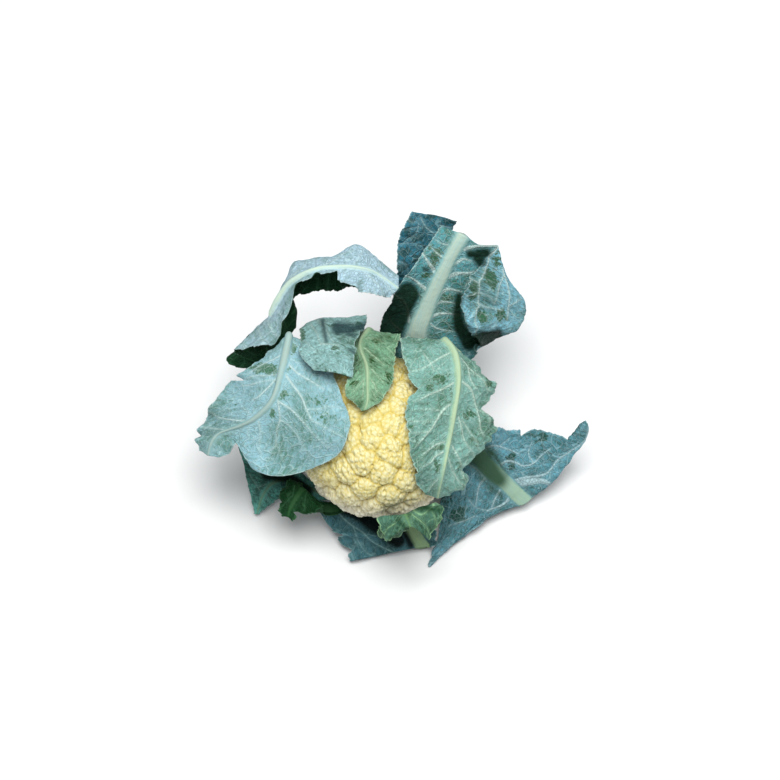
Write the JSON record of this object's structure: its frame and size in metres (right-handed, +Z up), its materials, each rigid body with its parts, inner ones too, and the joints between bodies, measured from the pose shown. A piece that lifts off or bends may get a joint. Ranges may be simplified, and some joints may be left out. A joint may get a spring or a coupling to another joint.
{
  "type": "cauliflower",
  "caption": "Harvested cauliflower: a domed cream head of florets on a cut stump, wrapped in large ribbed leaves, some bent over the head and some spread or trimmed across.",
  "frame": {"origin": "middle of the stump's flat cut face, on the table", "axes": "+Z up along the stump through the crown of the head; -Y towards the side the head shows most, with the longest spread leaf towards +X"},
  "size_m": [0.3972, 0.3231, 0.2298],
  "materials": {
    "curd": "matte, fine-grained creamy yellow florets, deeper yellow in the creases",
    "leaf": "waxy blue-green bloom over green, with pale ribs and veins",
    "stump": "pale green rind, moist white-green cut face"
  },
  "bodies": {
    "root": {"stump": "stump", "head": "curd", "leaf_mantle_left": "leaf", "leaf_mantle_back": "leaf", "leaf_mantle_centre": "leaf", "leaf_mantle_right": "leaf", "leaf_arch_left": "leaf", "leaf_fan_back": "leaf", "leaf_tall_back": "leaf", "leaf_spread_right": "leaf", "leaf_front_cut": "leaf", "leaf_front_curl": "leaf", "leaf_left_low": "leaf", "leaf_lobed_left": "leaf", "leaf_cut_left": "leaf", "leaf_cut_back": "leaf", "leaf_cut_right": "leaf"}
  },
  "joints": []
}
